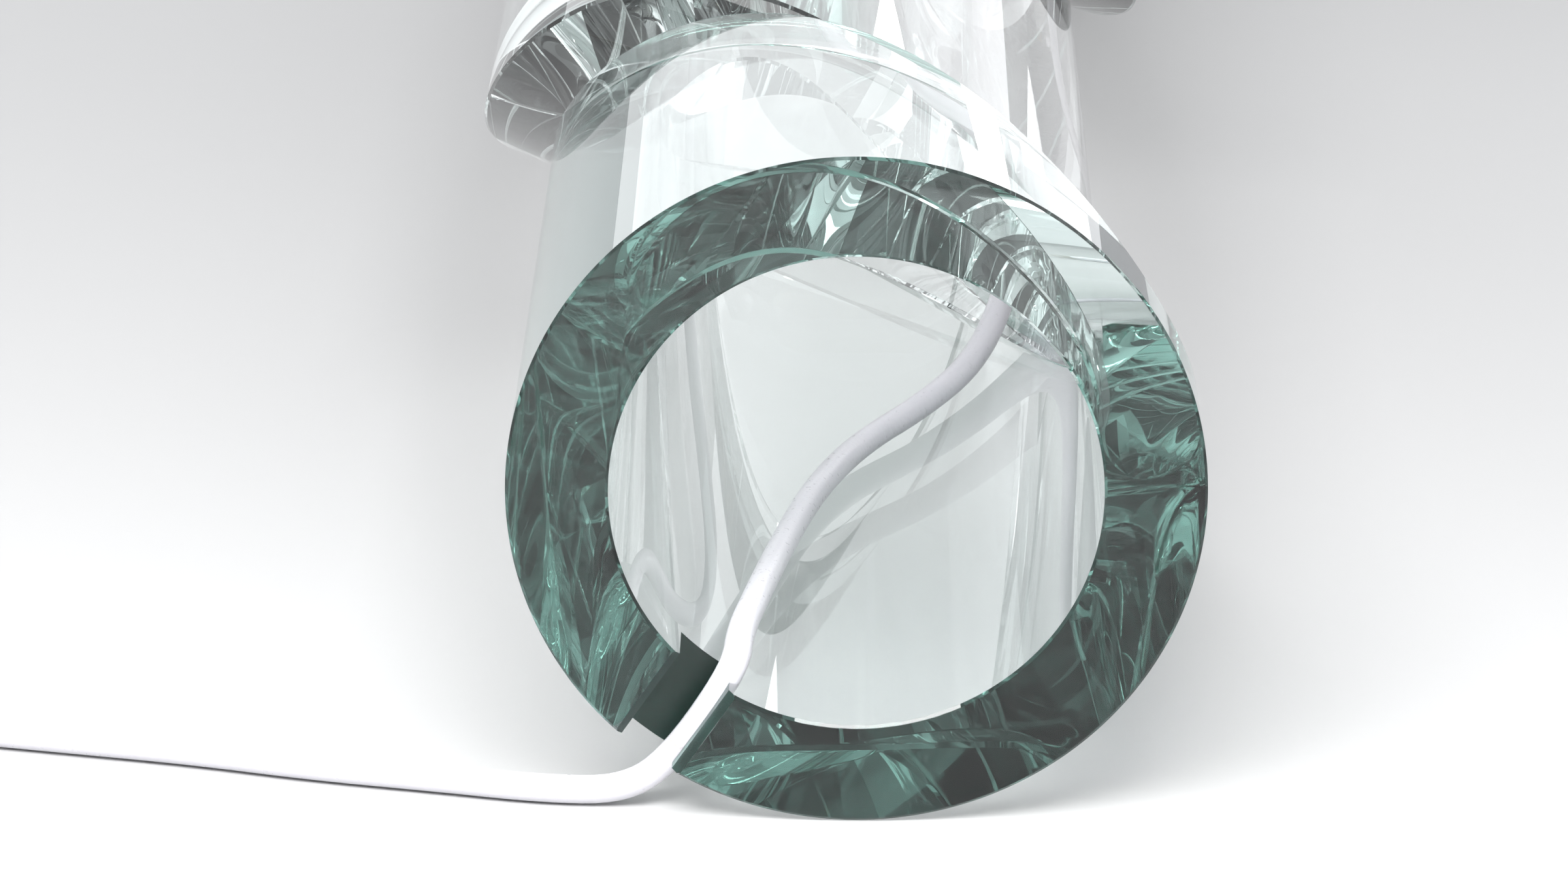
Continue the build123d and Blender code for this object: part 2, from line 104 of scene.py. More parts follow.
def useMaterial(thing, *materials):
    thing.data.materials.clear()
    for one in materials:
        thing.data.materials.append(one)


def makeWearGroup():
    # patchy wear: a soft mask and a slightly varied value, from Object coordinates
    group = bpy.data.node_groups.new("patchyWear", "ShaderNodeTree")
    for name, low, high, value in (("Size", 0, 5000, 40), ("Amount", 0, 1, 0.5), ("Softness", 0, 1, 0.3)):
        sock = group.interface.new_socket(name, in_out="INPUT", socket_type="NodeSocketFloat")
        sock.default_value, sock.min_value, sock.max_value = value, low, high
    group.interface.new_socket("Mask", in_out="OUTPUT", socket_type="NodeSocketFloat")
    group.interface.new_socket("Fine", in_out="OUTPUT", socket_type="NodeSocketFloat")
    inside = group.nodes.new("NodeGroupInput")
    outside = group.nodes.new("NodeGroupOutput")
    coords = group.nodes.new("ShaderNodeTexCoord")
    broad = group.nodes.new("ShaderNodeTexNoise")
    broad.inputs["Detail"].default_value = 5
    broad.inputs["Roughness"].default_value = 0.6
    fine = group.nodes.new("ShaderNodeTexNoise")
    fine.inputs["Detail"].default_value = 3
    grow = group.nodes.new("ShaderNodeMath")
    grow.operation = "MULTIPLY"
    grow.inputs[1].default_value = 9
    ramp = group.nodes.new("ShaderNodeMapRange")
    ramp.interpolation_type = "SMOOTHSTEP"
    lowEdge = group.nodes.new("ShaderNodeMath")
    lowEdge.operation = "SUBTRACT"
    lowEdge.inputs[0].default_value = 1
    highEdge = group.nodes.new("ShaderNodeMath")
    highEdge.operation = "ADD"
    link(group, coords.outputs["Object"], broad.inputs["Vector"])
    link(group, coords.outputs["Object"], fine.inputs["Vector"])
    link(group, inside.outputs["Size"], broad.inputs["Scale"])
    link(group, inside.outputs["Size"], grow.inputs[0])
    link(group, grow.outputs[0], fine.inputs["Scale"])
    link(group, inside.outputs["Amount"], lowEdge.inputs[1])
    link(group, lowEdge.outputs[0], highEdge.inputs[0])
    link(group, inside.outputs["Softness"], highEdge.inputs[1])
    link(group, broad.outputs["Fac"], ramp.inputs["Value"])
    link(group, lowEdge.outputs[0], ramp.inputs["From Min"])
    link(group, highEdge.outputs[0], ramp.inputs["From Max"])
    link(group, ramp.outputs["Result"], outside.inputs["Mask"])
    link(group, fine.outputs["Fac"], outside.inputs["Fine"])
    return group


patchyWear = makeWearGroup()


def addWear(tree, size, amount, softness):
    wear = tree.nodes.new("ShaderNodeGroup")
    wear.node_tree = patchyWear
    wear.inputs["Size"].default_value = size
    wear.inputs["Amount"].default_value = amount
    wear.inputs["Softness"].default_value = softness
    return wear


def varyColour(tree, shader, mask, clean, worn):
    mix = tree.nodes.new("ShaderNodeMix")
    mix.data_type = "RGBA"
    mix.inputs["A"].default_value = (*clean, 1)
    mix.inputs["B"].default_value = (*worn, 1)
    link(tree, mask, mix.inputs["Factor"])
    link(tree, mix.outputs["Result"], shader.inputs["Base Color"])


def varyRoughness(tree, shader, mask, smooth, rough):
    span = tree.nodes.new("ShaderNodeMapRange")
    span.inputs["To Min"].default_value = smooth
    span.inputs["To Max"].default_value = rough
    link(tree, mask, span.inputs["Value"])
    link(tree, span.outputs["Result"], shader.inputs["Roughness"])


def addBump(tree, shader, height, strength, depth):
    bump = tree.nodes.new("ShaderNodeBump")
    bump.inputs["Strength"].default_value = strength
    bump.inputs["Distance"].default_value = depth
    link(tree, height, bump.inputs["Height"])
    link(tree, bump.outputs["Normal"], shader.inputs["Normal"])


glass = {
    "index": 1.52,
    "tint": (0.36, 0.60, 0.55),
    "tintDensity": 6.8,
    "paintedLightFarDensity": 0.7,        # painted light: the tubes behind get a paler copy of the same glass, so that they look lighter
    "seamBite": 0.00012,      # how far bonded tubes reach into each other
    "sides": 320,
    "faceSteps": 12,          # rings across an end face
    "wallSteps": 8,           # rings along the outside and the bore
    "edge": 0.0006,
    "cutEdge": 0.0007,
    "shift": -0.0185,         # middle tube, sideways
    "boreShift": -0.003,
    "joint": 158.0,
    "pitch": 340.0,
    "rakeX": 1.28,
    "rakeZ": 2.23,
    "hollow": 0.0195,
}
notch = {
    "angle": 235.6,
    "offset": -0.0036,
    "width": 0.0135,
    "depth": 0.015,
    "bevel": 0.0018,
    "lip": 0.002,             # how far the tool stands proud of the face
    "near": 0.03,
    "far": 0.09,
    "satin": (0.42, 0.56, 0.54),
    "roughness": 0.38,
}


def glassMaterial(name, roughness, density, satin=False):
    made, tree, shader = newMaterial(name)
    shader.inputs["Base Color"].default_value = (1, 1, 1, 1)
    shader.inputs["Transmission Weight"].default_value = 1
    shader.inputs["IOR"].default_value = glass["index"]
    wear = addWear(tree, 22 if not satin else 260, 0.42, 0.35)
    varyRoughness(tree, shader, wear.outputs["Mask"], roughness, roughness + (0.012 if not satin else 0.16))
    if satin:
        addBump(tree, shader, wear.outputs["Fine"], 0.35, 0.0002)
        shader.inputs["Base Color"].default_value = (*notch["satin"], 1)
    depth = tree.nodes.new("ShaderNodeVolumeAbsorption")
    depth.inputs["Color"].default_value = (*glass["tint"], 1)
    depth.inputs["Density"].default_value = density
    link(tree, depth.outputs["Volume"], tree.nodes["Material Output"].inputs["Volume"])
    return made


polishedGlass = glassMaterial("polishedGlass", 0.0, glass["tintDensity"])
# painted light: a paler copy of the same glass for the tubes behind, so that they look lighter
paintedLightPaleGlass = glassMaterial("paintedLightPaleGlass", 0.0, glass["paintedLightFarDensity"])
groundGlass = glassMaterial("groundGlass", notch["roughness"], glass["tintDensity"], satin=True)


def cutStation(x, z, joint):
    # where a bowed saw cut crosses a point of the section, x and z in metres from the pole's axis
    mm = 1000
    along = joint - glass["rakeX"] * x * mm - glass["rakeZ"] * z * mm + glass["hollow"] * (z * mm) ** 2
    return along / mm


def makeTube(name, centre, boreCentre, lowJoint, highJoint):
    # one tube as rings of points: end face, outside, far face and bore, closed
    sides = glass["sides"]
    spin = np.linspace(0, 2 * np.pi, sides, endpoint=False)
    ux, uz = np.cos(spin), np.sin(spin)
    outer, bore = pole["radius"], pole["bore"]
    edge = glass["edge"]
    faceSteps, wallSteps = glass["faceSteps"], glass["wallSteps"]

    def ring(share, inset, joint, top, push=0.0):
        # share runs from the outside, 0, to the bore, 1; inset draws the ring into the wall
        ox, oz = centre + (outer - inset) * ux, (outer - inset) * uz
        bx, bz = boreCentre + (bore + inset) * ux, (bore + inset) * uz
        x, z = ox + (bx - ox) * share, oz + (bz - oz) * share
        if joint is None:
            along = np.full(sides, pole["length"] if top else 0.0)
        else:
            along = cutStation(x, z, joint)
        return np.stack([pole["axisX"] + x, pole["baseY"] + along + push, pole["axisZ"] + z], 1)

    lowTrim = edge if lowJoint is None else glass["cutEdge"]
    highTrim = edge if highJoint is None else glass["cutEdge"]
    bite = 0.0 if lowJoint is None else -glass["seamBite"]
    rings = []
    for step in range(faceSteps + 1):  # low face, from the bore out
        rings.append(ring(1 - step / faceSteps, lowTrim, lowJoint, False, bite))
    rings.append(ring(0, 0, lowJoint, False, lowTrim))
    for step in range(1, wallSteps):  # outside
        low, high = ring(0, 0, lowJoint, False, lowTrim), ring(0, 0, highJoint, True, -highTrim)
        rings.append(low + (high - low) * step / wallSteps)
    rings.append(ring(0, 0, highJoint, True, -highTrim))
    for step in range(faceSteps + 1):  # far face, from the outside in
        rings.append(ring(step / faceSteps, highTrim, highJoint, True))
    rings.append(ring(1, 0, highJoint, True, -highTrim))
    for step in range(1, wallSteps):  # bore
        low, high = ring(1, 0, lowJoint, False, lowTrim), ring(1, 0, highJoint, True, -highTrim)
        rings.append(high + (low - high) * step / wallSteps)
    rings.append(ring(1, 0, lowJoint, False, lowTrim))
    points = np.concatenate(rings)
    count = len(rings)
    faces = []
    for row in range(count):
        after = (row + 1) % count
        for col in range(sides):
            nextCol = (col + 1) % sides
            faces.append((row * sides + col, after * sides + col,
                          after * sides + nextCol, row * sides + nextCol))
    mesh = bpy.data.meshes.new(name)
    mesh.from_pydata(points.tolist(), [], faces)
    mesh.update()
    return mesh


def faceOutwards(mesh):
    work = bmesh.new()
    work.from_mesh(mesh)
    bmesh.ops.recalc_face_normals(work, faces=work.faces)
    work.to_mesh(mesh)
    work.free()


def cutNotch(piece):
    # takes the ground notch out of the base tube, with its ground bevels
    turn = math.radians(notch["angle"])
    out = Vector((math.cos(turn), 0, math.sin(turn)))
    side = Vector((-math.sin(turn), 0, math.cos(turn)))
    half, depth, bevel = notch["width"] / 2, notch["depth"], notch["bevel"]
    lip = notch["lip"]
    profile = [(-half - bevel - lip, -lip), (-half - bevel, 0), (-half, bevel), (-half, depth),
               (half, depth), (half, bevel), (half + bevel, 0), (half + bevel + lip, -lip)]
    middle = place(0, 0, 0)
    points = []
    for reach in (notch["near"], notch["far"]):
        for offset, along in profile:
            points.append(middle + out * reach + side * (offset + notch["offset"]) + Vector((0, along, 0)))
    size = len(profile)
    faces = [tuple(range(size)), tuple(range(2 * size - 1, size - 1, -1))]
    for index in range(size):
        after = (index + 1) % size
        faces.append((index, index + size, after + size, after))
    mesh = bpy.data.meshes.new("notchTool")
    mesh.from_pydata([tuple(p) for p in points], [], faces)
    faceOutwards(mesh)
    tool = bpy.data.objects.new("notchTool", mesh)
    bpy.context.scene.collection.objects.link(tool)
    useMaterial(tool, polishedGlass, groundGlass)
    for face in mesh.polygons:
        face.material_index = 1
    cutter = piece.modifiers.new("notch", "BOOLEAN")
    cutter.operation = "DIFFERENCE"
    cutter.solver = "EXACT"
    cutter.object = tool
    applyModifiers(piece)
    bpy.data.objects.remove(tool)


def applyModifiers(piece):
    view = bpy.context.evaluated_depsgraph_get()
    done = bpy.data.meshes.new_from_object(piece.evaluated_get(view))
    old = piece.data
    piece.modifiers.clear()
    done.name = old.name
    piece.data = done
    if old.users == 0:
        bpy.data.meshes.remove(old)


def polishNormals(mesh, centre, boreCentre, joints):
    # exact normals for round and bowed faces, so that what is seen through the glass isn't faceted
    coords = np.empty(len(mesh.vertices) * 3)
    mesh.vertices.foreach_get("co", coords)
    coords = coords.reshape(-1, 3) - np.array([pole["axisX"], pole["baseY"], pole["axisZ"]])
    x, along, z = coords[:, 0], coords[:, 1], coords[:, 2]
    outside = np.hypot(x - centre, z)
    inside = np.hypot(x - boreCentre, z)
    normals = []
    for face in mesh.polygons:
        flat = np.array(face.normal)
        ids = list(face.vertices)
        if np.all(np.abs(outside[ids] - pole["radius"]) < 4e-6) and abs(flat[1]) < 0.2:
            kind = "outside"
        elif np.all(np.abs(inside[ids] - pole["bore"]) < 4e-6) and abs(flat[1]) < 0.2:
            kind = "bore"
        else:
            kind = "flat"
            for joint in joints:
                off = along[ids] - cutStation(x[ids], z[ids], joint)
                if np.all(np.abs(off) < 4e-4) and abs(flat[1]) > 0.1:
                    kind = "cut"
        for v in ids:
            if kind == "outside":
                normal = np.array([x[v] - centre, 0, z[v]])
            elif kind == "bore":
                normal = -np.array([x[v] - boreCentre, 0, z[v]])
            elif kind == "cut":
                normal = np.array([glass["rakeX"], 1, glass["rakeZ"] - 2 * glass["hollow"] * z[v] * 1000])
                if normal @ flat < 0:
                    normal = -normal
            else:
                normal = flat
            normals.append(normal / np.linalg.norm(normal))
    for face in mesh.polygons:
        face.use_smooth = True
    mesh.normals_split_custom_set([tuple(n) for n in normals])


def makeGlass():
    low, high = glass["joint"], glass["joint"] + glass["pitch"]
    plans = (
        ("baseTube", 0.0, 0.0, None, low, "glass_base_segment"),
        ("middleTube", glass["shift"], glass["boreShift"], low, high, "glass_middle_segment"),
        ("topTube", 0.0, 0.0, high, None, "glass_top_segment"),
    )
    for name, centre, boreCentre, lowJoint, highJoint, node in plans:
        mesh = makeTube(name, centre, boreCentre, lowJoint, highJoint)
        faceOutwards(mesh)
        piece = addPiece(name, mesh)
        if name == "baseTube":
            useMaterial(piece, polishedGlass, groundGlass)
            cutNotch(piece)
        else:
            # painted light: the middle and top tubes take the paler copy of the glass
            useMaterial(piece, paintedLightPaleGlass)
        polishNormals(piece.data, centre, boreCentre, [j for j in (lowJoint, highJoint) if j])
        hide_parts(node)
        print(name, len(piece.data.polygons), "faces")


makeGlass()

# the cord follows the same route as in the CAD, then the coil's turns, then the tail to the plug
cord = {
    "radius": 0.00315,
    "route": (
        (0, 764, -38), (0, 740, -38), (1.5, 706, -45), (3, 655, -48), (1, 588, -48.3), (4, 512, -47.9),
        (14, 441, -44.9), (25, 380, -37.6), (34, 328, -26.8), (38.6, 282, -18.8), (39.2, 246, -20),
        (35.8, 222, -28.5), (28.2, 207, -39.3), (15.5, 194, -45.9), (1, 175, -48.6), (-9.5, 141, -47.9),
        (-17, 95, -45.7), (-22.5, 52, -43.2), (-25.3, 26, -41.1), (-26, 7.6, -42.7), (-40, 8, -64),
        (-50.5, 9.5, -71.85), (-68, 10, -71.85), (-91, 16, -71.85), (-119, 22.5, -71.85),
        (-147, 31.5, -71.85), (-177, 38.5, -71.85), (-208, 46, -71.85), (-238, 45, -71.85),
        (-264, 36, -71.85),
    ),
    "tail": ((-330.8, 93, -67.05), (-329.3, 119, -70.85), (-325.3, 145, -69.85), (-320, 167, -65.5),
             (-320, 183, -65.5)),
    "length": 2.32,
    "white": (0.67, 0.66, 0.70),
    "scuffed": (0.32, 0.24, 0.16),
    "scuffAt": (-44, 6, -68),
    "scuffFrom": 0.004,
    "scuffTo": 0.017,
}
coil = {
    "centre": (-290.0, 75.0),
    "turns": 5.25,
    "perTurn": 16,
    "pitch": 6.34,
    "floor": -71.85,
    "outer": 41.3,
}


def smooth(value, start, end):
    t = min(max((value - start) / (end - start), 0), 1)
    return t * t * (3 - 2 * t)


def coilPoints():
    # three turns in on the floor, up, and back out on top; each step over is a short slant
    pull = math.cos(math.pi / coil["perTurn"])  # the smooth line runs inside its points by this much
    points = []
    total = int(coil["turns"] * coil["perTurn"])
    for index in range(1, total):
        t = index / coil["perTurn"]
        inward = smooth(t, 0.8, 1.0) + smooth(t, 1.8, 2.0)
        outward = smooth(t, 3.45, 3.65) + smooth(t, 4.45, 4.65)
        radius = (coil["outer"] - coil["pitch"] * (inward - outward)) / pull
        rise = coil["pitch"] * smooth(t, 2.62, 2.85)
        turn = math.radians(270 - 360 * t)
        points.append((coil["centre"][0] + radius * math.cos(turn),
                       coil["centre"][1] + radius * math.sin(turn), coil["floor"] + rise))
    return points


def cordMaterial():
    made, tree, shader = newMaterial("whiteCord")
    wear = addWear(tree, 95, 0.40, 0.12)
    coords = tree.nodes.new("ShaderNodeTexCoord")
    near = tree.nodes.new("ShaderNodeVectorMath")
    near.operation = "DISTANCE"
    near.inputs[1].default_value = tuple(place(*cord["scuffAt"]))
    close = tree.nodes.new("ShaderNodeMapRange")
    close.inputs["From Min"].default_value = cord["scuffFrom"]
    close.inputs["From Max"].default_value = cord["scuffTo"]
    close.inputs["To Min"].default_value = 1
    close.inputs["To Max"].default_value = 0
    scuff = tree.nodes.new("ShaderNodeMath")
    scuff.operation = "MULTIPLY"
    link(tree, coords.outputs["Object"], near.inputs[0])
    link(tree, near.outputs["Value"], close.inputs["Value"])
    link(tree, close.outputs["Result"], scuff.inputs[0])
    link(tree, wear.outputs["Mask"], scuff.inputs[1])
    varyColour(tree, shader, scuff.outputs[0], cord["white"], cord["scuffed"])
    varyRoughness(tree, shader, wear.outputs["Fine"], 0.22, 0.38)
    shader.inputs["Specular IOR Level"].default_value = 0.55
    addBump(tree, shader, wear.outputs["Fine"], 0.25, 0.0003)
    return made


whiteCord = cordMaterial()


def makeCord():
    points = [tuple(place(*p)) for p in cord["route"]]
    points += [tuple(place(x, along, z)) for x, along, z in coilPoints()]
    points += [tuple(place(*p)) for p in cord["tail"]]
    curve = bpy.data.curves.new("mainsCord", "CURVE")
    curve.dimensions = "3D"
    line = curve.splines.new("NURBS")
    line.points.add(len(points) - 1)
    for point, spot in zip(line.points, points):
        point.co = (*spot, 1)
        point.radius = cord["radius"]
    line.order_u = 3
    line.use_endpoint_u = True
    line.resolution_u = 6
    curve.bevel_depth = 1
    curve.bevel_resolution = 5
    curve.use_fill_caps = True
    piece = bpy.data.objects.new("mainsCord", curve)
    bpy.context.scene.collection.objects.link(piece)
    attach(piece, "root")
    useMaterial(piece, whiteCord)
    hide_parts("cord", "cord_coil", "cord_tail")
    return piece


mainsCord = makeCord()
print("cord laid")


def paintMaterial(name, clean, worn, smoothness, coarseness, bump, size=60, metal=0.0, coat=0.0, amount=0.4):
    made, tree, shader = newMaterial(name)
    wear = addWear(tree, size, amount, 0.3)
    varyColour(tree, shader, wear.outputs["Mask"], clean, worn)
    varyRoughness(tree, shader, wear.outputs["Fine"], smoothness, coarseness)
    addBump(tree, shader, wear.outputs["Fine"], bump, 0.0004)
    shader.inputs["Metallic"].default_value = metal
    shader.inputs["Coat Weight"].default_value = coat
    return made


def brushedMaterial(name, clean, worn, smoothness, coarseness, size=40, stretch=(1, 1, 30)):
    # metal with a fine turned or drawn grain along one axis
    made, tree, shader = newMaterial(name)
    wear = addWear(tree, size, 0.38, 0.35)
    varyColour(tree, shader, wear.outputs["Mask"], clean, worn)
    coords = tree.nodes.new("ShaderNodeTexCoord")
    stretchNode = tree.nodes.new("ShaderNodeMapping")
    stretchNode.inputs["Scale"].default_value = stretch
    grain = tree.nodes.new("ShaderNodeTexNoise")
    grain.inputs["Scale"].default_value = 120
    grain.inputs["Detail"].default_value = 3
    link(tree, coords.outputs["Object"], stretchNode.inputs["Vector"])
    link(tree, stretchNode.outputs["Vector"], grain.inputs["Vector"])
    varyRoughness(tree, shader, grain.outputs["Fac"], smoothness, coarseness)
    addBump(tree, shader, grain.outputs["Fac"], 0.15, 0.0002)
    shader.inputs["Metallic"].default_value = 1
    return made


finishes = {
    "capMetal": brushedMaterial("capMetal", (0.62, 0.62, 0.61), (0.50, 0.50, 0.49), 0.22, 0.38, 30,
                                (1, 30, 1)),
    "silicone": paintMaterial("clearSilicone", (0.72, 0.74, 0.73), (0.62, 0.64, 0.62), 0.35, 0.55, 0.2, 80),
    "zinc": brushedMaterial("zincSteel", (0.66, 0.66, 0.64), (0.52, 0.53, 0.50), 0.25, 0.45, 90),
    "brass": brushedMaterial("brass", (0.80, 0.60, 0.27), (0.58, 0.42, 0.20), 0.20, 0.42, 80),
    "nickel": brushedMaterial("lampNickel", (0.72, 0.70, 0.66), (0.58, 0.56, 0.52), 0.18, 0.34, 80),
    "porcelain": paintMaterial("glazedPorcelain", (0.86, 0.85, 0.80), (0.78, 0.76, 0.70), 0.12, 0.22, 0.06,
                               30, 0, 0.6),
    "housing": paintMaterial("lampWhite", (0.84, 0.84, 0.83), (0.76, 0.76, 0.74), 0.35, 0.5, 0.12, 70),
    "insulator": paintMaterial("blackInsulator", (0.025, 0.025, 0.027), (0.06, 0.06, 0.06), 0.3, 0.5, 0.1,
                               90),
    "board": paintMaterial("boardWhite", (0.80, 0.81, 0.80), (0.70, 0.71, 0.69), 0.3, 0.5, 0.1, 200),
    "emitter": paintMaterial("emitterYellow", (0.90, 0.72, 0.18), (0.80, 0.60, 0.12), 0.3, 0.45, 0.1, 300),
    "leadBlack": paintMaterial("leadBlack", (0.03, 0.03, 0.03), (0.07, 0.07, 0.07), 0.35, 0.5, 0.1, 120),
    "leadWhite": paintMaterial("leadWhite", (0.80, 0.80, 0.78), (0.66, 0.66, 0.62), 0.35, 0.5, 0.1, 120),
    "leadGreen": paintMaterial("leadGreen", (0.06, 0.30, 0.12), (0.10, 0.38, 0.18), 0.35, 0.5, 0.1, 120),
    "plug": paintMaterial("plugWhite", (0.82, 0.81, 0.84), (0.70, 0.69, 0.70), 0.30, 0.45, 0.2, 60),
}


def diffuserMaterial():
    made, tree, shader = newMaterial("lampDiffuser")
    wear = addWear(tree, 35, 0.4, 0.4)
    varyColour(tree, shader, wear.outputs["Mask"], (0.93, 0.93, 0.91), (0.88, 0.88, 0.85))
    varyRoughness(tree, shader, wear.outputs["Fine"], 0.38, 0.5)
    shader.inputs["Transmission Weight"].default_value = 0.35
    addBump(tree, shader, wear.outputs["Fine"], 0.1, 0.0002)
    return made


finishes["diffuser"] = diffuserMaterial()
finishOf = {
    "cap_gasket": "silicone", "top_cap": "capMetal", "spigot_ring": "silicone", "nipple": "zinc",
    "knob_washer": "zinc", "top_knob": "capMetal", "nipple_nut": "zinc", "holder_cap": "porcelain",
    "holder_body": "porcelain", "screw_shell": "brass", "centre_contact": "brass", "terminal_screws": "brass",
    "lamp_housing": "housing", "lamp_diffuser": "diffuser", "lamp_board": "board", "lamp_emitters": "emitter",
    "lamp_screw_base": "nickel", "lamp_base_insulator": "insulator", "lamp_tip_contact": "brass",
    "anchor_bracket": "zinc", "anchor_screws": "zinc", "cord_bushing": "insulator", "earth_screw": "zinc",
    "earth_lug": "brass", "live_lead": "leadBlack", "neutral_lead": "leadWhite", "earth_lead": "leadGreen",
    "plug_relief": "plug", "plug_body": "plug", "plug_blades": "nickel", "plug_ground_pin": "nickel",
}
for node, finish in finishOf.items():
    useMaterial(nodes[node], finishes[finish])
print("finishes given to", len(finishOf), "parts")


def newTree(name, inputs):
    tree = bpy.data.node_groups.new(name, "GeometryNodeTree")
    tree.interface.new_socket("Geometry", in_out="INPUT", socket_type="NodeSocketGeometry")
    for label, kind, value in inputs:
        sock = tree.interface.new_socket(label, in_out="INPUT", socket_type=kind)
        if value is not None:
            sock.default_value = value
    tree.interface.new_socket("Geometry", in_out="OUTPUT", socket_type="NodeSocketGeometry")
    return tree, tree.nodes.new("NodeGroupInput"), tree.nodes.new("NodeGroupOutput")


def addMath(tree, operation, first, second):
    step = tree.nodes.new("ShaderNodeMath")
    step.operation = operation
    for slot, value in enumerate((first, second)):
        if isinstance(value, (int, float)):
            step.inputs[slot].default_value = value
        else:
            tree.links.new(value, step.inputs[slot])
    return step.outputs[0]


def closeTree(tree, source, given, out):
    solid = tree.nodes.new("GeometryNodeRealizeInstances")
    shade = tree.nodes.new("GeometryNodeSetShadeSmooth")
    paint = tree.nodes.new("GeometryNodeSetMaterial")
    tree.links.new(source, solid.inputs[0])
    tree.links.new(solid.outputs[0], shade.inputs["Geometry"])
    tree.links.new(shade.outputs[0], paint.inputs["Geometry"])
    tree.links.new(given.outputs["Material"], paint.inputs["Material"])
    tree.links.new(paint.outputs[0], out.inputs["Geometry"])


def makeRingTree():
    # rings one behind another along +Y, growing evenly from the first radius to the last
    tree, given, out = newTree("ringsAlong", (
        ("Start", "NodeSocketVector", None), ("Count", "NodeSocketInt", 5),
        ("Spacing", "NodeSocketFloat", 0.004),
        ("First Radius", "NodeSocketFloat", 0.01), ("Last Radius", "NodeSocketFloat", 0.01),
        ("Thickness", "NodeSocketFloat", 0.001), ("Material", "NodeSocketMaterial", None)))
    step = tree.nodes.new("ShaderNodeCombineXYZ")
    line = tree.nodes.new("GeometryNodeMeshLine")
    scatter = tree.nodes.new("GeometryNodeInstanceOnPoints")
    hoop = tree.nodes.new("GeometryNodeCurvePrimitiveCircle")
    wire = tree.nodes.new("GeometryNodeCurvePrimitiveCircle")
    skin = tree.nodes.new("GeometryNodeCurveToMesh")
    index = tree.nodes.new("GeometryNodeInputIndex")
    hoop.inputs["Resolution"].default_value = 48
    hoop.inputs["Radius"].default_value = 1
    wire.inputs["Resolution"].default_value = 10
    tree.links.new(given.outputs["Spacing"], step.inputs["Y"])
    tree.links.new(given.outputs["Count"], line.inputs["Count"])
    tree.links.new(given.outputs["Start"], line.inputs["Start Location"])
    tree.links.new(step.outputs[0], line.inputs["Offset"])
    tree.links.new(addMath(tree, "DIVIDE", given.outputs["Thickness"], given.outputs["First Radius"]),
                   wire.inputs["Radius"])
    tree.links.new(hoop.outputs["Curve"], skin.inputs["Curve"])
    tree.links.new(wire.outputs["Curve"], skin.inputs["Profile Curve"])
    tree.links.new(line.outputs["Mesh"], scatter.inputs["Points"])
    tree.links.new(skin.outputs["Mesh"], scatter.inputs["Instance"])
    scatter.inputs["Rotation"].default_value = (math.pi / 2, 0, 0)
    share = addMath(tree, "DIVIDE", index.outputs[0], addMath(tree, "SUBTRACT", given.outputs["Count"], 1))
    growth = addMath(tree, "SUBTRACT", given.outputs["Last Radius"], given.outputs["First Radius"])
    radius = addMath(tree, "ADD", given.outputs["First Radius"], addMath(tree, "MULTIPLY", growth, share))
    tree.links.new(radius, scatter.inputs["Scale"])
    closeTree(tree, scatter.outputs["Instances"], given, out)
    return tree


def makeGripTree():
    # round bars in a circle about an axis along Y
    tree, given, out = newTree("gripsAround", (
        ("Centre", "NodeSocketVector", None), ("Count", "NodeSocketInt", 24),
        ("Radius", "NodeSocketFloat", 0.0133),
        ("Length", "NodeSocketFloat", 0.012), ("Thickness", "NodeSocketFloat", 0.0009),
        ("Material", "NodeSocketMaterial", None)))
    circle = tree.nodes.new("GeometryNodeMeshCircle")
    bar = tree.nodes.new("GeometryNodeMeshUVSphere")
    scatter = tree.nodes.new("GeometryNodeInstanceOnPoints")
    shape = tree.nodes.new("ShaderNodeCombineXYZ")
    move = tree.nodes.new("GeometryNodeTransform")
    bar.inputs["Segments"].default_value = 12
    bar.inputs["Rings"].default_value = 8
    bar.inputs["Radius"].default_value = 1
    tree.links.new(given.outputs["Count"], circle.inputs["Vertices"])
    tree.links.new(given.outputs["Radius"], circle.inputs["Radius"])
    tree.links.new(given.outputs["Thickness"], shape.inputs["X"])
    tree.links.new(given.outputs["Thickness"], shape.inputs["Y"])
    tree.links.new(addMath(tree, "DIVIDE", given.outputs["Length"], 2.0), shape.inputs["Z"])
    tree.links.new(shape.outputs[0], scatter.inputs["Scale"])
    tree.links.new(circle.outputs["Mesh"], scatter.inputs["Points"])
    tree.links.new(bar.outputs["Mesh"], scatter.inputs["Instance"])
    tree.links.new(scatter.outputs["Instances"], move.inputs["Geometry"])
    move.inputs["Rotation"].default_value = (math.pi / 2, 0, 0)
    tree.links.new(given.outputs["Centre"], move.inputs["Translation"])
    closeTree(tree, move.outputs["Geometry"], given, out)
    return tree


def growPiece(name, tree, values, body):
    # runs a tree on an empty mesh, with its inputs given by name, and keeps the result as a plain mesh
    holder = bpy.data.objects.new(name, bpy.data.meshes.new(name))
    bpy.context.scene.collection.objects.link(holder)
    grower = holder.modifiers.new("grow", "NODES")
    grower.node_group = tree
    for item in tree.interface.items_tree:
        if item.item_type == "SOCKET" and item.in_out == "INPUT" and item.name in values:
            grower[item.identifier] = values[item.name]
    applyModifiers(holder)
    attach(holder, body)
    return holder


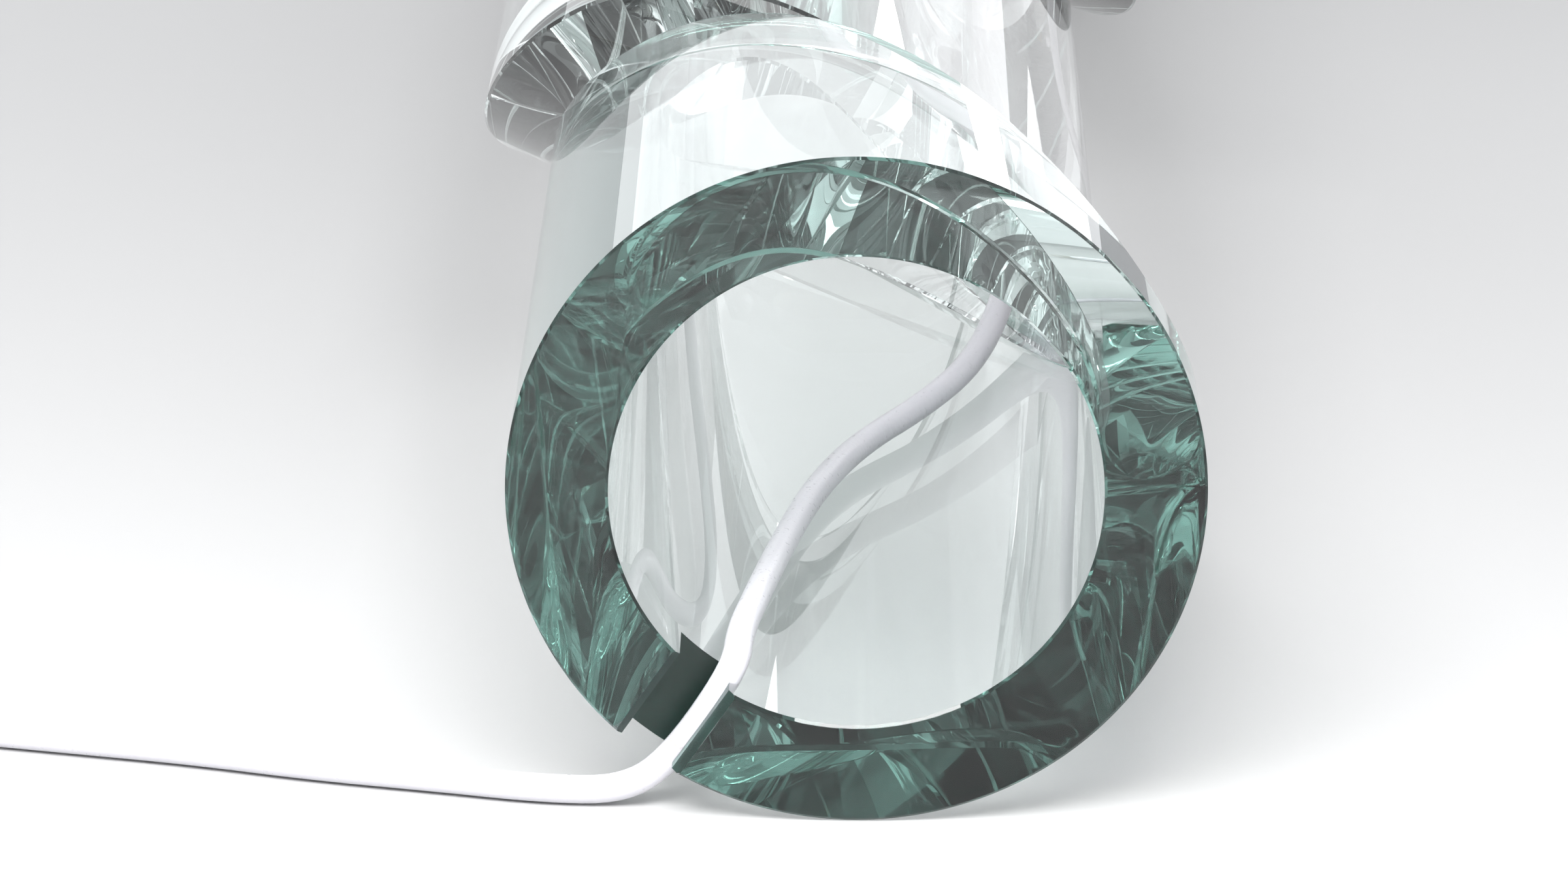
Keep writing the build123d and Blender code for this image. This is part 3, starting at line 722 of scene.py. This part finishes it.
ringsAlong = makeRingTree()
gripsAround = makeGripTree()
reliefRibs = {"Start": tuple(place(-320, 187, -65.5)), "Count": 6, "Spacing": 0.0042, "First Radius": 0.0040,
              "Last Radius": 0.0053, "Thickness": 0.0006, "Material": finishes["plug"]}
lampThread = {"Start": tuple(place(0, 734.5, 0)), "Count": 5, "Spacing": 0.0036, "First Radius": 0.01285,
              "Last Radius": 0.01285, "Thickness": 0.0006, "Material": finishes["nickel"]}
knobGrips = {"Centre": tuple(place(0, 843.5, 0)), "Count": 28, "Radius": 0.0134, "Length": 0.013,
             "Thickness": 0.0009, "Material": finishes["capMetal"]}
growPiece("plugReliefRibs", ringsAlong, reliefRibs, "root")
growPiece("lampThreadRidges", ringsAlong, lampThread, "lamp")
growPiece("knobGrips", gripsAround, knobGrips, "knob")
print("ribs, thread and grips grown")

coilTie = {"angles": (60, 200), "across": 0.0103, "top": 0.0134, "width": 0.0045,
           "thick": 0.0007, "ring": 0.035,
           "steps": 40}


def makeTie(name, angle):
    # a strap bent round the bundle of turns, flat on the floor beneath it
    turn = math.radians(angle)
    out = Vector((math.cos(turn), math.sin(turn), 0))
    side = Vector((-math.sin(turn), math.cos(turn), 0))
    middle = place(*coil["centre"], 0)
    middle.z = 0
    middle = middle + out * coilTie["ring"]
    high, wide = coilTie["top"] / 2, coilTie["across"]
    loop = []
    steps = coilTie["steps"]
    for step in range(steps):
        a = 2 * math.pi * step / steps
        c, d = math.cos(a), math.sin(a)
        loop.append((wide * math.copysign(abs(c) ** 0.45, c), high + high * math.copysign(abs(d) ** 0.45, d)))
    points, faces = [], []
    for x, z in loop:
        spread = Vector((x, 0, z - high)).normalized() * coilTie["thick"]
        for deep, edge in ((0, -1), (0, 1), (1, 1), (1, -1)):
            spot = middle + out * (x - deep * spread.x) + Vector((0, 0, z - deep * spread.z))
            points.append(tuple(spot + side * (edge * coilTie["width"] / 2)))
    for step in range(steps):
        after = (step + 1) % steps
        for edge in range(4):
            nextEdge = (edge + 1) % 4
            faces.append((4 * step + edge, 4 * after + edge, 4 * after + nextEdge, 4 * step + nextEdge))
    mesh = bpy.data.meshes.new(name)
    mesh.from_pydata(points, [], faces)
    faceOutwards(mesh)
    tie = addPiece(name, mesh)
    useMaterial(tie, finishes["insulator"])


for number, angle in enumerate(coilTie["angles"]):
    makeTie(f"coilTie{number + 1}", angle)
print("coil tied")

studio = {
    "paper": 0.48,
    "sky": (0.97, 0.98, 1.0),
    "skyLevel": 1.06,
    "glow": 0.75,              # extra level of the bright wall behind the object
    "glowAim": (0.15, 0.93, 0.33),
    "paintedGlowLevel": 0.34,      # painted light: a glow the paper emits under the pole, in place of the light the glass passes down onto it
    "paintedGlowSize": (0.105, 0.50),
    "paintedGlowAt": (0.0, -0.03),
    "floorHalf": 6.0,
    "floorZ": -0.0002,
    "bounces": 40,             # light runs the length of the glass wall, so it needs many turns
    # name, place, aim, width, height, power
    "lights": (
        ("poolBox", (-0.1, -0.95, 0.75), (-0.1, -0.95, 0), 0.7, 0.5, 19),
        ("stripBox", (0.25, 0.24, 0.275), (0.03, -0.326, 0.143), 0.30, 0.03, 0.14),
        ("sideBox", (-1.4, 0.1, 0.8), (0, -0.2, 0.1), 0.3, 0.9, 3),
    ),
}


def makeFloor():
    mesh = bpy.data.meshes.new("studioFloor")
    half, low = studio["floorHalf"], studio["floorZ"]
    corners = [(-half, -half, low), (half, -half, low), (half, half, low), (-half, half, low)]
    mesh.from_pydata(corners, [], [(0, 1, 2, 3)])
    floor = bpy.data.objects.new("studioFloor", mesh)
    bpy.context.scene.collection.objects.link(floor)
    made, tree, shader = newMaterial("studioPaperPaintedGlow")
    wear = addWear(tree, 3, 0.5, 0.4)
    paper = studio["paper"]
    varyColour(tree, shader, wear.outputs["Mask"], (paper,) * 3, (paper * 0.99,) * 3)
    shader.inputs["Roughness"].default_value = 0.7
    shader.inputs["Specular IOR Level"].default_value = 0.2
    # painted light: the paper emits a soft glow in an oval under the pole, in place of the light the glass
    # passes down
    coords = tree.nodes.new("ShaderNodeTexCoord")
    paintedGlowSpot = tree.nodes.new("ShaderNodeMapping")
    paintedGlowSpot.vector_type = "TEXTURE"
    paintedGlowSpot.inputs["Location"].default_value = (*studio["paintedGlowAt"], 0)
    paintedGlowSpot.inputs["Scale"].default_value = (*studio["paintedGlowSize"], 1)
    far = tree.nodes.new("ShaderNodeVectorMath")
    far.operation = "LENGTH"
    level = tree.nodes.new("ShaderNodeMapRange")
    level.interpolation_type = "SMOOTHSTEP"
    level.inputs["From Min"].default_value = 0.35
    level.inputs["From Max"].default_value = 1.0
    level.inputs["To Min"].default_value = studio["paintedGlowLevel"]
    level.inputs["To Max"].default_value = 0
    link(tree, coords.outputs["Object"], paintedGlowSpot.inputs["Vector"])
    link(tree, paintedGlowSpot.outputs["Vector"], far.inputs[0])
    link(tree, far.outputs["Value"], level.inputs["Value"])
    shader.inputs["Emission Color"].default_value = (1, 1, 1, 1)
    link(tree, level.outputs["Result"], shader.inputs["Emission Strength"])
    useMaterial(floor, made)


def makeLight(name, spot, aim, width, height, power):
    data = bpy.data.lights.new(name, "AREA")
    data.shape = "RECTANGLE"
    data.size = width
    data.size_y = height
    data.energy = power
    lamp = bpy.data.objects.new(name, data)
    bpy.context.scene.collection.objects.link(lamp)
    lamp.location = spot
    lamp.rotation_euler = (Vector(aim) - Vector(spot)).to_track_quat("-Z", "Y").to_euler()
    lamp.visible_camera = False


def makeWorld():
    world = bpy.data.worlds.new("studio")
    bpy.context.scene.world = world
    world.use_nodes = True
    tree = world.node_tree
    back = tree.nodes["Background"]
    back.inputs["Color"].default_value = (*studio["sky"], 1)
    coords = tree.nodes.new("ShaderNodeTexCoord")
    toward = tree.nodes.new("ShaderNodeVectorMath")
    toward.operation = "DOT_PRODUCT"
    toward.inputs[1].default_value = Vector(studio["glowAim"]).normalized()
    level = tree.nodes.new("ShaderNodeMapRange")
    level.interpolation_type = "SMOOTHSTEP"
    level.inputs["From Min"].default_value = 0.72
    level.inputs["From Max"].default_value = 1.0
    level.inputs["To Min"].default_value = studio["skyLevel"]
    level.inputs["To Max"].default_value = studio["skyLevel"] + studio["glow"]
    link(tree, coords.outputs["Generated"], toward.inputs[0])
    link(tree, toward.outputs["Value"], level.inputs["Value"])
    link(tree, level.outputs["Result"], back.inputs["Strength"])


makeFloor()
makeWorld()
for plan in studio["lights"]:
    makeLight(*plan)
bpy.context.scene.view_settings.view_transform = "Standard"
lightPath = bpy.context.scene.cycles
lightPath.max_bounces = lightPath.transmission_bounces = lightPath.glossy_bounces = studio["bounces"]
print("studio lit")

edgeFlag = {"spot": (0.62, 0.15, 0.25), "width": 0.5, "height": 0.5, "turn": 60,
            "cloth": (0.10, 0.10, 0.11)}


def makeFlag():
    # a dark card out of view on the right, which draws the edge of the glass
    half, tall = edgeFlag["width"] / 2, edgeFlag["height"] / 2
    turn = math.radians(edgeFlag["turn"])
    along = Vector((math.cos(turn), math.sin(turn), 0))
    centre = Vector(edgeFlag["spot"])
    corners = [centre + along * half * a + Vector((0, 0, tall * b))
               for a, b in ((-1, -1), (1, -1), (1, 1), (-1, 1))]
    mesh = bpy.data.meshes.new("edgeFlag")
    mesh.from_pydata([tuple(c) for c in corners], [], [(0, 1, 2, 3)])
    card = bpy.data.objects.new("edgeFlag", mesh)
    bpy.context.scene.collection.objects.link(card)
    made, tree, shader = newMaterial("flagCloth")
    shader.inputs["Base Color"].default_value = (*edgeFlag["cloth"], 1)
    useMaterial(card, made)
    card.visible_camera = card.visible_diffuse = card.visible_shadow = False


makeFlag()
